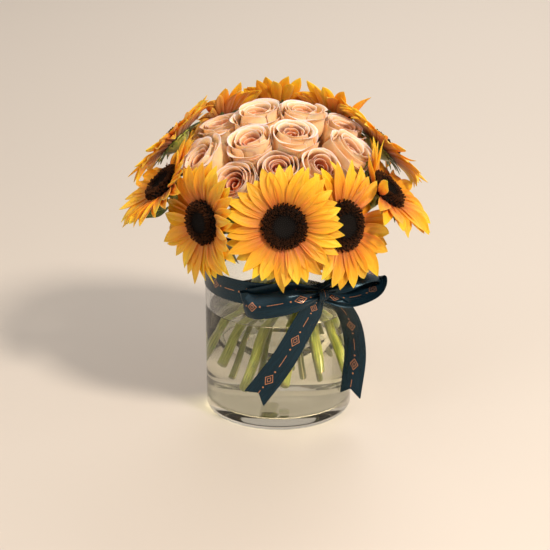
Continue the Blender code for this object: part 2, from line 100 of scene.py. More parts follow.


# %% [markdown]
# ## Helpers for meshes
#
# One function does what every piece needs: it turns a finished bmesh into an object, puts it on
# the model's root body, and hides the plain solids that it stands for. A second one closes the seam of
# a shape that goes all the way round, and turns its faces outward, because a spun or rolled shape
# can come out inside out. The last two give a point round the vase's axis and a value between two.

# %% Make an object from a bmesh and hang it on the frame
def place_piece(bm, name, material, stands_for=(), smooth=True):
    mesh = bpy.data.meshes.new(name)
    bm.to_mesh(mesh)
    bm.free()
    if smooth:
        mesh.shade_smooth()
    piece = bpy.data.objects.new(name, mesh)
    bpy.context.scene.collection.objects.link(piece)
    mesh.materials.append(material)
    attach(piece, "root")
    for node in stands_for:
        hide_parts(node)
    return piece


def close_seam(bm):
    bmesh.ops.remove_doubles(bm, verts=bm.verts, dist=0.01 * MM)
    bmesh.ops.recalc_face_normals(bm, faces=bm.faces)


def around(azimuth, radius, height):
    """A point round the vase's axis: azimuth in degrees from the front, positive to the right."""
    angle = math.radians(azimuth)
    return Vector((radius * math.sin(angle), -radius * math.cos(angle), height))


def mix(a, b, share):
    return a + (b - a) * share


# %% [markdown]
# ## Helpers for materials
#
# Colours are written as sRGB hex values, the way a paint chart gives them, and one function turns
# them to the linear values that the renderer works with. Another adds a node, sets its inputs and
# makes its links. The rest are the steps that several materials share, so each material below
# reads as a short list of steps.

# %% Colour and node helpers
def colour(text):
    values = [int(text[i:i + 2], 16) / 255 for i in (1, 3, 5)]
    linear = [v / 12.92 if v <= 0.04045 else ((v + 0.055) / 1.055) ** 2.4 for v in values]
    return (*linear, 1.0)


def start_material(name, **settings):
    material = bpy.data.materials.new(name)
    material.use_nodes = True
    shader = material.node_tree.nodes["Principled BSDF"]
    for socket, value in settings.items():
        shader.inputs[socket.replace("_", " ")].default_value = value
    return material, shader


def add(material, kind, inputs=None, **settings):
    """Add a node: settings go on the node, inputs are values or sockets to link from."""
    node = material.node_tree.nodes.new(kind)
    for key, value in settings.items():
        setattr(node, key, value)
    for key, value in (inputs or {}).items():
        if isinstance(value, bpy.types.NodeSocket):
            material.node_tree.links.new(value, node.inputs[key])
        else:
            node.inputs[key].default_value = value
    return node


def join(material, source, target):
    material.node_tree.links.new(source, target)


def ramp(material, factor, *stops):
    """A colour ramp from (place, hex colour) stops."""
    node = add(material, "ShaderNodeValToRGB", {"Fac": factor})
    elements = node.color_ramp.elements
    while len(elements) < len(stops):
        elements.new(0.5)
    for element, (place, text) in zip(elements, stops):
        element.position = place
        element.color = colour(text)
    return node.outputs["Color"]


def mark(material, name, output="Fac"):
    """What an attribute of the mesh says."""
    return add(material, "ShaderNodeAttribute", attribute_name=name).outputs[output]


def uv_of(material):
    """The UV place as a vector, and its two parts."""
    place = add(material, "ShaderNodeUVMap", uv_map="UVMap").outputs["UV"]
    parts = add(material, "ShaderNodeSeparateXYZ", {"Vector": place}).outputs
    return place, parts["X"], parts["Y"]


def calculator(material):
    """A function that adds a maths node to the material and returns its result."""
    def calc(operation, *values):
        inputs = dict(enumerate(values))
        return add(material, "ShaderNodeMath", inputs, operation=operation).outputs[0]
    return calc


def noise(material, vector, **settings):
    inputs = {"Vector": vector, **settings}
    return add(material, "ShaderNodeTexNoise", inputs).outputs["Fac"]


def stretched(material, vector, scale):
    return add(material, "ShaderNodeMapping", {"Vector": vector, "Scale": scale}).outputs[0]


def moved(material, value, **limits):
    """A value moved from one range to another; a limit that isn't given is 0 or 1."""
    inputs = {key.replace("_", " "): limit for key, limit in limits.items()}
    return add(material, "ShaderNodeMapRange", {"Value": value, **inputs}).outputs[0]


def blended(material, factor, first, second):
    inputs = {"Factor": factor, "A": first, "B": second}
    return add(material, "ShaderNodeMix", inputs, data_type="RGBA").outputs["Result"]


def finish_material(material, shader, base, height, strength, distance):
    """Join up the colour, and a bump that is raised by height."""
    join(material, base, shader.inputs["Base Color"])
    raised = {"Height": height, "Strength": strength, "Distance": distance}
    bump = add(material, "ShaderNodeBump", raised)
    join(material, bump.outputs["Normal"], shader.inputs["Normal"])
    return material


# %% [markdown]
# ## Camera, floor and light
#
# The camera looks a little down on the arrangement, from about the height of a standing viewer's
# eyes some way off, with a long lens that keeps the glass's sides nearly upright. The floor is
# plain and pale. A warm key light from the front right gives the petals their glow and lays a
# soft shadow to the left, a broad dim one opens the left side, and one behind lights the far
# petals through. The plain view transform keeps the petals' strong yellow, which the default one
# would wash out.

# %% Camera
CAMERA_PLACE = (-0.0037, -1.7515, 0.7928)
CAMERA_TILT = 69.6                  # degrees from straight down
CAMERA_LENS = 119.8

lens = bpy.data.cameras.new("camera")
lens.lens = CAMERA_LENS
lens.sensor_width = 36
camera = bpy.data.objects.new("camera", lens)
bpy.context.scene.collection.objects.link(camera)
camera.location = CAMERA_PLACE
camera.rotation_euler = (math.radians(CAMERA_TILT), 0, 0)
bpy.context.scene.camera = camera
print("camera", [round(v, 3) for v in camera.location])

# %% Floor
FLOOR_HALF = 12.0                   # metres, so that its edge is never seen from above


def build_floor():
    paint, _ = start_material("matt cream floor", Base_Color=colour("#D0C9C1"), Roughness=0.6)
    bm = bmesh.new()
    bmesh.ops.create_grid(bm, x_segments=1, y_segments=1, size=FLOOR_HALF)
    mesh = bpy.data.meshes.new("floor")
    bm.to_mesh(mesh)
    bm.free()
    mesh.materials.append(paint)
    floor = bpy.data.objects.new("floor", mesh)
    bpy.context.scene.collection.objects.link(floor)
    return floor


floor = build_floor()
print("floor", FLOOR_HALF * 2, "m square")


# %% Lights
def area_light(name, place, aim, size, watts, tint):
    data = bpy.data.lights.new(name, "AREA")
    data.shape = "DISK"
    data.size = size
    data.energy = watts
    data.color = colour(tint)[:3]
    item = bpy.data.objects.new(name, data)
    bpy.context.scene.collection.objects.link(item)
    item.location = place
    away = Vector(place) - Vector(aim)
    item.rotation_euler = away.to_track_quat("Z", "Y").to_euler()
    item.visible_transmission = False   # else the lamps themselves show in the base of the glass
    return item


MIDDLE = (0, 0, 0.2)
WORLD_STRENGTH = 0.56

area_light("key", (1.35, -1.5, 2.1), MIDDLE, 0.5, 80, "#FFF0DE")
area_light("fill", (-2.2, -1.6, 1.2), MIDDLE, 2.0, 17, "#FFFAF6")
area_light("back", (0.7, 2.4, 1.8), MIDDLE, 1.8, 26, "#FFF8F0")
world = bpy.data.worlds.new("studio")
world.use_nodes = True
backdrop = world.node_tree.nodes["Background"]
backdrop.inputs["Color"].default_value = colour("#F4EAE0")
backdrop.inputs["Strength"].default_value = WORLD_STRENGTH
bpy.context.scene.world = world
bpy.context.scene.view_settings.view_transform = "Standard"

# %% [markdown]
# ## The glass
#
# A florist's cylinder is soda-lime glass, pressed with a heavy base and a rounded heel and rim.
# It is one closed wall, so that light bends at both of its faces. A half section is drawn as a
# few vertices and edges, and spin turns it round the axis; a Screw modifier would do the same,
# but spin leaves a plain mesh with nothing live on it.

# %% Glass material
def let_light_through(material, shader, tint):
    """Lamp light passes the clear body instead of stopping at it, so that what is inside is lit."""
    ray = add(material, "ShaderNodeLightPath")
    open_air = add(material, "ShaderNodeBsdfTransparent", {"Color": colour(tint)})
    both = add(material, "ShaderNodeMixShader", {0: ray.outputs["Is Shadow Ray"]})
    output = material.node_tree.nodes["Material Output"]
    join(material, shader.outputs[0], both.inputs[1])
    join(material, open_air.outputs[0], both.inputs[2])
    join(material, both.outputs[0], output.inputs["Surface"])


glass, shader = start_material(
    "soda-lime glass",
    Base_Color=colour("#FCFDFB"),
    Roughness=0.0,
    IOR=1.5,
    Transmission_Weight=1.0,
)
let_light_through(glass, shader, "#F2F5F2")
print("material", glass.name)

# %% Spin the vase
GLASS_STEPS = 160
HEEL = 7 * MM
BORE_CORNER = 5 * MM
BASE_DIP = 0.6 * MM                 # the floor of the bore rises to its middle by this


def arc(middle, radius, start, end, steps):
    """Points of (radius, height) on an arc, angles in degrees from the +radius direction."""
    angles = [math.radians(mix(start, end, i / steps)) for i in range(steps + 1)]
    return [(middle[0] + radius * math.cos(a), middle[1] + radius * math.sin(a)) for a in angles]


def spin_profile(profile, steps):
    """A closed turned body from a half section of (radius, height) points."""
    bm = bmesh.new()
    points = [bm.verts.new((radius, 0, height)) for radius, height in profile]
    edges = [bm.edges.new(pair) for pair in zip(points, points[1:])]
    bmesh.ops.spin(
        bm,
        geom=points + edges,
        cent=(0, 0, 0),
        axis=(0, 0, 1),
        angle=math.tau,
        steps=steps,
        use_merge=True,
    )
    close_seam(bm)
    return bm


rim = glass_wall / 2
base_top = glass_floor
profile = [(0, base_top + BASE_DIP), (bore_radius * 0.6, base_top + BASE_DIP / 2)]
profile += arc((bore_radius - BORE_CORNER, base_top + BORE_CORNER), BORE_CORNER, -90, 0, 6)
profile += [(bore_radius, mix(base_top, rim_height, share)) for share in (0.15, 0.5, 0.8)]
profile += arc((bore_radius + rim, rim_height - rim), rim, 180, 0, 8)
profile += [(glass_radius, mix(base_top, rim_height, share)) for share in (0.8, 0.5, 0.15)]
profile += arc((glass_radius - HEEL, HEEL), HEEL, 0, -90, 8)
profile += [(glass_radius * 0.5, 0.3 * MM), (0, 0.4 * MM)]
vase = place_piece(spin_profile(profile, GLASS_STEPS), "glass_cylinder", glass, ["vase"])
print("vase faces", len(vase.data.polygons))

# %% [markdown]
# ## The water
#
# Water wets glass: there is no air between them. So the water's skin lies a little inside the
# glass wall instead of against it, which lets light go from glass to water as it really does. Its
# surface climbs the wall in a thin curve, the meniscus. Cut stems make it faintly yellow.

# %% Water
WETTED = 0.25 * MM                  # how far the water's skin lies inside the wall
MENISCUS = 2.2 * MM

water_clear, shader = start_material(
    "fresh water",
    Base_Color=colour("#FBF5E4"),
    Roughness=0.0,
    IOR=1.333,
    Transmission_Weight=1.0,
)
let_light_through(water_clear, shader, "#FAF6EA")
skin = bore_radius + WETTED
profile = [(0, base_top + BASE_DIP - WETTED), (bore_radius * 0.6, base_top + BASE_DIP / 2 - WETTED)]
profile += arc((skin - BORE_CORNER, base_top - WETTED + BORE_CORNER), BORE_CORNER, -90, 0, 6)
profile += [(skin, water_level * 0.5), (skin, water_level + MENISCUS)]
profile += arc((bore_radius - MENISCUS, water_level + MENISCUS), MENISCUS, 0, -90, 6)[1:]
profile += [(bore_radius * 0.5, water_level), (0, water_level)]
water = place_piece(spin_profile(profile, GLASS_STEPS), "water_body", water_clear, ["water"])
print("water faces", len(water.data.polygons))

# %% [markdown]
# ## Where the stems and heads are
#
# Each stem runs straight up from its cut end to the waist, where the bunch is bound, and then
# curves out to its head. The cut end, the waist and the head are read from the plain solids, and
# one curve with given ends and directions, a Hermite curve, joins them.

# %% Read places from the plain solids
DISC_DOME = 4 * MM
SUNFLOWER_SEAT = 6.4 * MM           # top of the disc's rim down to the green seat
ROSE_SEAT = 44.3 * MM
CALYX_DEPTH = 13 * MM
BLOOM_FOCUS = Vector((0, 0, rim_height - 10 * MM))


def node_points(name):
    bm = bmesh.new()
    bm.from_mesh(nodes[name].data)
    bmesh.ops.remove_doubles(bm, verts=bm.verts, dist=0.01 * MM)
    points = [vertex.co.copy() for vertex in bm.verts]
    bm.free()
    return points


def middle_of(points):
    return sum(points, Vector()) / len(points)


def head_frame(place, axis):
    turn = axis.to_track_quat("Z", "Y").to_matrix().to_4x4()
    return Matrix.Translation(place) @ turn


def disc_frame(name):
    """The disc's own frame: its axis is the direction in which the solid is thinnest."""
    points = node_points(name + "_disc")
    centre = middle_of(points)
    offsets = np.array([point - centre for point in points])
    axis = Vector(np.linalg.eigh(offsets.T @ offsets)[1][:, 0])
    nearest = min(node_points(name + "_stem"), key=lambda point: (point - centre).length)
    if (nearest - centre).dot(axis) > 0:
        axis = -axis
    heights = [(point - centre).dot(axis) for point in points]
    radius = max(((point - centre) - axis * h).length for point, h in zip(points, heights))
    return head_frame(centre + axis * (max(heights) - DISC_DOME), axis), axis, radius


def bloom_frame(name):
    centre = middle_of(node_points(name + "_bloom"))
    stem = sorted(node_points(name + "_stem"), key=lambda point: (point - centre).length)
    seat = middle_of(stem[:8])
    axis = (seat - BLOOM_FOCUS).normalized()
    return head_frame(seat + axis * ROSE_SEAT, axis), axis


SUNFLOWERS = [f"sunflower_{number:02d}" for number in range(1, 11)]
ROSES = [f"rose_{number:02d}" for number in range(1, 14)]
head_of = {name: disc_frame(name) for name in SUNFLOWERS}
bloom_of = {name: bloom_frame(name) for name in ROSES}
for name in ("sunflower_01", "sunflower_02"):
    print(name, [round(v, 4) for v in head_of[name][0].translation], "disc", round(head_of[name][2], 4))

# %% Route of a stem
STEM_STEPS = 26
WAIST_PULL = 1.3
HEAD_PULL = 1.0
RISING_PULL = 0.7


def stem_route(name, back, axis, radius):
    """Points from the cut end up to the neck under the head."""
    points = node_points(name + "_stem")
    low = min(points, key=lambda point: point.z)
    foot = middle_of([point for point in points if (point - low).length < 2.3 * radius])
    waist = middle_of([point for point in points if abs(point.z - waist_height) < 4 * MM])
    neck = back - axis * CALYX_DEPTH
    reach = (neck - waist).length
    start_pull = (waist - foot).normalized() * reach * WAIST_PULL
    end_pull = axis * reach * (HEAD_PULL - RISING_PULL * axis.z)
    route = [foot.lerp(waist, i / 8) for i in range(8)]
    for i in range(STEM_STEPS + 1):
        t = i / STEM_STEPS
        route.append(
            waist * (2 * t**3 - 3 * t**2 + 1)
            + start_pull * (t**3 - 2 * t**2 + t)
            + neck * (3 * t**2 - 2 * t**3)
            + end_pull * (t**3 - t**2)
        )
    return route


# %% [markdown]
# ## Stems
#
# A sunflower's stem is a stout ribbed rod with short bristles, cut on the slant under water; a
# rose's is thinner and smooth, with a few thorns. A ring of points is extruded along the route one
# step at a time. Each step only moves the new ring, so its points keep their order and the ribs
# run true. A point's place on the skin is kept in an attribute, which the materials read.

# %% Sweep a ring along a route
def ring_frames(points, radii):
    """A matrix for each ring: its side vector is carried along, so that the rod doesn't twist."""
    frames = []
    side = Vector((1, 0, 0))
    last = len(points) - 1
    for i, (point, radius) in enumerate(zip(points, radii)):
        along = (points[min(i + 1, last)] - points[max(i - 1, 0)]).normalized()
        side = (side - along * side.dot(along)).normalized()
        turn = Matrix((side, along.cross(side), along)).transposed().to_4x4()
        frames.append(Matrix.Translation(point) @ turn @ Matrix.Diagonal((radius, radius, radius, 1)))
    return frames


def sweep(bm, points, radii, sides, rib=0.0, slant=0.0):
    """Closed rod in an empty bm, with a radius at each point; rib is the depth of its ribs."""
    skin = bm.verts.layers.float_vector["skin"]
    frames = ring_frames(points, radii)
    first = bmesh.ops.create_circle(bm, segments=sides, radius=1.0, cap_ends=True)["verts"]
    for i, vertex in enumerate(first):
        vertex.co *= 1 - rib * (i % 2)
        vertex[skin] = (vertex.co.x, vertex.co.y, 0)
    bmesh.ops.transform(bm, verts=first, matrix=frames[0])
    edges = list(bm.edges)
    travelled = 0.0
    for i in range(1, len(points)):
        travelled += (points[i] - points[i - 1]).length / MM
        made = bmesh.ops.extrude_edge_only(bm, edges=edges)["geom"]
        ring = [item for item in made if isinstance(item, bmesh.types.BMVert)]
        edges = [item for item in made if isinstance(item, bmesh.types.BMEdge)]
        bmesh.ops.transform(bm, verts=ring, matrix=frames[i] @ frames[i - 1].inverted())
        for vertex in ring:
            vertex[skin] = (*vertex[skin].xy, travelled)
    bmesh.ops.contextual_create(bm, geom=edges)
    tilt = Matrix.Rotation(slant, 3, frames[0].col[0].xyz.normalized())
    bmesh.ops.rotate(bm, verts=first, cent=points[0], matrix=tilt)


# %% [markdown]
# ## Green of the stems and leaves
#
# Stem skin is waxy and finely streaked along its length: streaks are noise stretched along the
# stem, read from the skin attribute, and the same streaks raise a little bump. The cut face is
# pale pith. Leaves are the same green with a paler midrib and side veins.

# %% Stem materials
STREAK = 3.0                        # streaks across the radius
STREAK_LENGTH = 14.0                # mm along the stem


def build_stem_green(name, dark, light, pale, rough):
    material, shader = start_material(
        name,
        Roughness=rough,
        Subsurface_Weight=0.15,
        Subsurface_Scale=1.5 * MM,
        Sheen_Weight=0.25,
    )
    skin = stretched(material, mark(material, "skin", "Vector"), (STREAK, STREAK, 1 / STREAK_LENGTH))
    streaks = noise(material, skin, Scale=1.5, Detail=3.0)
    tone = ramp(material, streaks, (0.3, dark), (0.55, light), (0.75, pale))
    cut = blended(material, mark(material, "pith"), tone, colour("#D8D2A0"))
    return finish_material(material, shader, cut, streaks, 0.4, 0.4 * MM)


sunflower_green = build_stem_green("sunflower stem skin", "#6E7A26", "#A3A842", "#C6C46A", 0.45)
rose_green = build_stem_green("rose stem skin", "#556024", "#838A3A", "#9A7F48", 0.4)
print("materials", sunflower_green.name, rose_green.name)

# %% Leaf material
VEIN_SLOPE = 0.7                    # how steeply the side veins run up towards the edge
VEIN_RATE = 56.0                    # radians along the leaf, so about nine pairs of veins


def build_leaf_green():
    material, shader = start_material(
        "waxy leaf blade",
        Roughness=0.42,
        Subsurface_Weight=0.15,
        Subsurface_Scale=1.0 * MM,
    )
    calc = calculator(material)
    place, across, up = uv_of(material)
    aside = calc("ABSOLUTE", calc("SUBTRACT", across, 0.5))
    slope = calc("MULTIPLY_ADD", aside, -VEIN_SLOPE, up)
    veins = calc("SINE", calc("MULTIPLY", slope, VEIN_RATE))
    thin = moved(material, veins, From_Min=0.86, From_Max=1.0)
    rib = moved(material, aside, From_Min=0.05, From_Max=0.02)
    drawn = calc("MAXIMUM", thin, rib)
    blotch = noise(material, place, Scale=6.0, Detail=4.0)
    green = ramp(material, blotch, (0.35, "#3C4F1C"), (0.65, "#5E7230"))
    both = blended(material, drawn, green, colour("#93A05A"))
    return finish_material(material, shader, both, drawn, 0.5, 0.3 * MM)


leaf_green = build_leaf_green()
print("material", leaf_green.name)

# %% [markdown]
# ## A curved blade
#
# Petals, bracts and leaves are all thin blades: a grid of a few dozen faces, bent by a rule that
# gives each of its points a place. Solidify gives the blade its thickness and one step of
# subdivision rounds it, both as modifiers on the finished piece.

# %% Blade and finish
def blade(bm, across, along, place_of, **marks):
    """A grid bent to place_of(u, v), with u from -1 to 1 across and v from 0 to 1 along."""
    grid = bmesh.ops.create_grid(bm, x_segments=across, y_segments=along, size=1.0)["verts"]
    uv_layer = bm.loops.layers.uv["UVMap"]
    where = {}
    for vertex in grid:
        u = vertex.co.x
        v = (vertex.co.y + 1) / 2
        where[vertex] = (u, v)
        vertex.co = place_of(u, v)
        for layer, value in marks.items():
            vertex[bm.verts.layers.float[layer]] = value
    for vertex, (u, v) in where.items():
        for loop in vertex.link_loops:
            loop[uv_layer].uv = ((u + 1) / 2, v)


def blade_mesh(*layers):
    bm = bmesh.new()
    bm.loops.layers.uv.new("UVMap")
    for layer in layers:
        bm.verts.layers.float.new(layer)
    return bm


def thicken(piece, thickness):
    wall = piece.modifiers.new("Thickness", "SOLIDIFY")
    wall.thickness = thickness
    wall.offset = 0
    soft = piece.modifiers.new("Soft", "SUBSURF")
    soft.levels = 1
    soft.render_levels = 1


# %% [markdown]
# ## Sunflower stems, calyx and bracts
#
# Behind each head the stem swells into a green calyx, and two rows of pointed bracts spread from
# it behind the petals. They are what the arrangement shows from the side and from below.

# %% Sunflower stems
SUNFLOWER_STEM = 5 * MM
SUNFLOWER_SIDES = 20
CUT_SLANT = 0.6                     # radians off square


def start_stem():
    bm = bmesh.new()
    bm.verts.layers.float_vector.new("skin")
    bm.verts.layers.float.new("pith")
    return bm


def mark_pith(bm):
    """The lowest face is the cut one: inset it, so that the pale pith has an edge of skin."""
    pith = bm.verts.layers.float["pith"]
    bm.faces.ensure_lookup_table()
    cut = bm.faces[0]
    bmesh.ops.inset_region(bm, faces=[cut], thickness=0.5 * MM)
    for vertex in cut.verts:
        vertex[pith] = 1.0


def bracts(bm, frame, radius, rng, count, length, drop):
    """Two rows of pointed bracts round the back of a head."""
    for i in range(count):
        turn = math.tau * (i + rng.uniform(-0.2, 0.2)) / count
        reach = length * rng.uniform(0.85, 1.15)
        sink = drop * rng.uniform(0.6, 1.4)
        row = 1 - 0.25 * (i % 2)

        def place_of(u, v):
            width = 3.6 * MM * (1 - v) ** 0.7 * (0.7 + v)
            out = radius * row * 0.9 + reach * v
            up = -7.2 * MM - (1.2 * MM if i % 2 else 0) - sink * v * v + 0.8 * MM * u * u
            point = Vector((out, u * width, up))
            return frame @ (Matrix.Rotation(turn, 3, "Z") @ point)

        blade(bm, 2, 4, place_of)


for number, name in enumerate(SUNFLOWERS):
    head, axis, disc_radius = head_of[name]
    back = head @ Vector((0, 0, -SUNFLOWER_SEAT))
    route = stem_route(name, back, axis, SUNFLOWER_STEM)
    neck = route[-1]
    flare = disc_radius * 0.84
    shape = ((0.25, 1.3), (0.45, 2.0), (0.62, 2.9))
    points = route + [neck.lerp(back, share) for share, _ in shape]
    points += [neck.lerp(back, 0.78), neck.lerp(back, 0.9), back]
    radii = [SUNFLOWER_STEM * (1 + 0.05 * math.sin(i * 1.7 + number)) for i in range(len(route))]
    radii += [SUNFLOWER_STEM * size for _, size in shape] + [flare * 0.86, flare * 0.97, flare]
    bm = start_stem()
    sweep(bm, points, radii, SUNFLOWER_SIDES, rib=0.05, slant=CUT_SLANT * (1 if number % 2 else -1))
    mark_pith(bm)
    place_piece(bm, name + "_stalk", sunflower_green, [name + "_stem"])
    bm = blade_mesh()
    bracts(bm, head, flare, random.Random(number), 22, 17 * MM, 3 * MM)
    thicken(place_piece(bm, name + "_bracts", leaf_green), 0.5 * MM)
print("sunflower stems", len(SUNFLOWERS))

# %% Rose stems
ROSE_STEM = 3 * MM
ROSE_SIDES = 14


def thorn(bm, place, outward, size):
    made = bmesh.ops.create_cone(
        bm, cap_ends=True, segments=6, radius1=size * 0.5, radius2=size * 0.05, depth=size * 1.2
    )["verts"]
    turn = outward.to_track_quat("Z", "Y").to_matrix().to_4x4()
    bmesh.ops.transform(bm, verts=made, matrix=Matrix.Translation(place + outward * size * 0.4) @ turn)


for number, name in enumerate(ROSES):
    head, axis = bloom_of[name]
    back = head @ Vector((0, 0, -ROSE_SEAT))
    route = stem_route(name, back, axis, ROSE_STEM)
    neck = route[-1]
    points = route + [neck.lerp(back, 0.3), neck.lerp(back, 0.55), neck.lerp(back, 0.8), back]
    radii = [ROSE_STEM * (1 + 0.06 * math.sin(i * 1.3 + number)) for i in range(len(route))]
    radii += [ROSE_STEM * 1.1, ROSE_STEM * 1.5, ROSE_STEM * 2.1, ROSE_STEM * 2.2]
    bm = start_stem()
    sweep(bm, points, radii, ROSE_SIDES, slant=CUT_SLANT * (1 if number % 2 else -1))
    mark_pith(bm)
    rng = random.Random(number + 50)
    for i in (2, 4, 6, 10):
        aside = around(rng.uniform(0, 360), 1, 0.3).normalized()
        thorn(bm, points[i] + aside * ROSE_STEM * 0.8, aside, 3 * MM)
    place_piece(bm, name + "_stalk", rose_green, [name + "_stem"])
    bm = blade_mesh()
    bracts(bm, head @ Matrix.Translation((0, 0, -ROSE_SEAT + 8 * MM)), 6 * MM, rng, 5, 20 * MM, 9 * MM)
    thicken(place_piece(bm, name + "_sepals", leaf_green), 0.5 * MM)
print("rose stems", len(ROSES))


# %% [markdown]
# ## Leaves
#
# A florist strips most leaves, and a few are left under the heads: one lies inside the glass under
# its rim, one points out at the left, and five small ones hang round the collar. A leaf is a blade
# that follows its midrib, widest a third of the way along, with its two halves raised a little.

# %% Leaves
LEAF_HALF = 8.5 * MM


def smooth_point(points, t):
    """A point on one smooth curve through a few given ones, t from 0 to 1."""
    ends = [points[0] * 2 - points[1], *points, points[-1] * 2 - points[-2]]
    place = min(max(t, 0.0), 1.0) * (len(points) - 1)
    k = min(int(place), len(points) - 2)
    t = place - k
    a, b, c, d = ends[k:k + 4]
    bend = a * 2 - b * 5 + c * 4 - d
    twist = b * 3 - a - c * 3 + d
    return b + (c - a) * t / 2 + bend * t**2 / 2 + twist * t**3 / 2


def leaf(name, points, half, rng):
    """A leaf along a midrib given by a few points."""
    bm = blade_mesh()
    phase = rng.uniform(0, 6)

    def place_of(u, v):
        here = smooth_point(points, v)
        along = (smooth_point(points, v + 0.02) - smooth_point(points, v - 0.02)).normalized()
        across = Vector((here.x, here.y, 0)).cross(along).normalized()
        rise = across.cross(along)
        width = half * (0.18 + 3.2 * v * (1 - v) ** 1.1) * (1 - v**6)
        wave = 0.6 * MM * math.sin(9 * v + 2 * u + phase)
        return here + across * u * width + rise * (abs(u) * 0.3 * width + wave * abs(u))

    blade(bm, 6, 10, place_of)
    thicken(place_piece(bm, name, leaf_green), 0.5 * MM)


def neck_of(name):
    return head_of[name][0] @ Vector((0, 0, -SUNFLOWER_SEAT - CALYX_DEPTH))


def over_rim(triples):
    return [around(turn, out * MM, rim_height + up * MM) for turn, out, up in triples]


LEAF_PATHS = {
    "leaf_in_glass": ("sunflower_10", 1.0, [(-63, 62, -9), (-50, 64, -20), (-37, 64, -28)]),
    "leaf_left": ("sunflower_09", 1.0, [(-84, 112, 18), (-82, 130, 15), (-79, 145, 10)]),
    "leaf_low_left": ("sunflower_10", 0.6, [(-56, 84, 2), (-57, 90, -8), (-60, 92, -20)]),
    "leaf_right": ("sunflower_03", 0.7, [(70, 92, 16), (67, 101, 6), (64, 104, -6)]),
    "leaf_back_right": ("sunflower_04", 0.8, [(116, 100, 20), (118, 112, 8), (122, 116, -6)]),
    "leaf_back": ("sunflower_06", 0.8, [(176, 92, 26), (172, 104, 14), (168, 108, -2)]),
    "leaf_back_left": ("sunflower_08", 0.8, [(-116, 100, 28), (-121, 112, 18), (-126, 118, 4)]),
}
for name, (bearer, size, triples) in LEAF_PATHS.items():
    midrib = [neck_of(bearer), *over_rim(triples)]
    leaf(name, midrib, LEAF_HALF * size, random.Random(len(name)))
print("leaves", len(LEAF_PATHS))


# %% [markdown]
# ## Colour of the ray petals
#
# A ray petal is a thin, finely ribbed sheet, deep orange at its root and yellow at its tip, and
# some light passes through it. Its own UV map runs along it, so the ramp follows the petal however
# it bends, and noise stretched along it gives the ribs, which real petals have about every
# millimetre. A random tint for each petal keeps the ring from looking stamped.

# %% Ray petal material
RIBS = 11.0                         # across the petal
WAVERING = 0.22                     # how far the ribs carry a colour up or down the petal
NEXT_SHEET = 37.0                   # moves each petal to its own part of the noise


def build_ray_petal():
    material, shader = start_material(
        "ray petal",
        Roughness=0.5,
        Subsurface_Weight=0.55,
        Subsurface_Radius=(1.0, 0.5, 0.06),
        Subsurface_Scale=3.0 * MM,
        Sheen_Weight=0.15,
    )
    calc = calculator(material)
    _, across, up = uv_of(material)
    tint = mark(material, "tint")
    own = {"X": calc("MULTIPLY", across, RIBS), "Y": up, "Z": calc("MULTIPLY", tint, NEXT_SHEET)}
    sheet = add(material, "ShaderNodeCombineXYZ", own).outputs[0]
    ribs = noise(material, sheet, Scale=1.6, Detail=3.0, Roughness=0.6)
    way = calc("SUBTRACT", calc("MULTIPLY_ADD", ribs, WAVERING, up), WAVERING / 2)
    tone = ramp(
        material,
        way,
        (0.0, "#9C4404"),
        (0.22, "#E08204"),
        (0.5, "#FCAC06"),
        (1.0, "#FFC81C"),
    )
    shift = {
        "Hue": moved(material, tint, To_Min=0.488, To_Max=0.504),
        "Value": moved(material, tint, To_Min=0.86, To_Max=1.06),
        "Color": tone,
    }
    toned = add(material, "ShaderNodeHueSaturation", shift).outputs["Color"]
    return finish_material(material, shader, toned, ribs, 0.8, 0.8 * MM)


ray_petal = build_ray_petal()
print("material", ray_petal.name)

# %% [markdown]
# ## Rays of a sunflower
#
# A head carries a front ring of rays, and a second ring behind it that fills the gaps. The plain
# solid already says where each ray of the front ring has room to lie between its neighbours, so
# every lobe is read back from it: two points at its widest and one at its tip. A ray of the second
# ring lies between two lobes and a little behind them.

# %% Read the lobes of a head
RAYS = 19
WEDGE = math.tau / RAYS
ROOT_UP = -5.3 * MM
LOBE_ROOT_OUT = 0.6 * MM            # a plain lobe's root lies this far outside the disc,
LOBE_ROOT_DROP = 0.4 * MM           # and this far under the level of the ray's root
ROOT_REACH = 1.2 * MM               # points nearer to that than this belong to the root
TIP_SHARE = 0.2                     # of a wedge: points nearer to its middle line are the tip


def read_lobes(name, frame):
    """For each ray, its left, right and tip points in the head's own frame."""
    into = frame.inverted()
    found = [{"left": [], "right": [], "tip": []} for _ in range(RAYS)]
    for point in node_points(name + "_petals"):
        local = into @ point
        turn = math.atan2(local.y, local.x) / WEDGE
        k = round(turn)
        part = turn - k
        root = head_of[name][2] + LOBE_ROOT_OUT
        out = local.xy.length
        off_root = math.hypot(out - root, local.z - ROOT_UP + LOBE_ROOT_DROP)
        if off_root < ROOT_REACH or out < root * 0.9:
            continue
        side = "tip" if abs(part) < TIP_SHARE else "right" if part > 0 else "left"
        found[k % RAYS][side].append(local)
    lobes = []
    for k, lobe in enumerate(found):
        if all(lobe.values()):
            lobes.append({side: middle_of(points) for side, points in lobe.items()})
        else:
            lobes.append(None)
            print(name, "lobe", k, {side: len(points) for side, points in lobe.items()})
    return lobes


lobes_of = {name: read_lobes(name, head_of[name][0]) for name in SUNFLOWERS}
print("lobes", sum(lobe is not None for lobes in lobes_of.values() for lobe in lobes))

# %% Make the rays
ROOT_SHARE = 0.74                   # of the disc's radius, so the florets cover the rays' roots
FRONT_GROW = 1.22                   # rays are wider than their lobes, so that they overlap
BACK_GROW = 1.14
FRONT_LIFT = 0.4 * MM
BACK_LIFT = -1.0 * MM
BACK_SINK = 3.4 * MM
TIP_GAP = 26 * MM                   # tips further apart than this have no ray between them


def curve_through(a, b, c, t):
    """A smooth curve that leaves a, passes b half way and ends at c."""
    control = b * 2 - (a + c) / 2
    return a * (1 - t) ** 2 + control * (2 * t * (1 - t)) + c * t**2


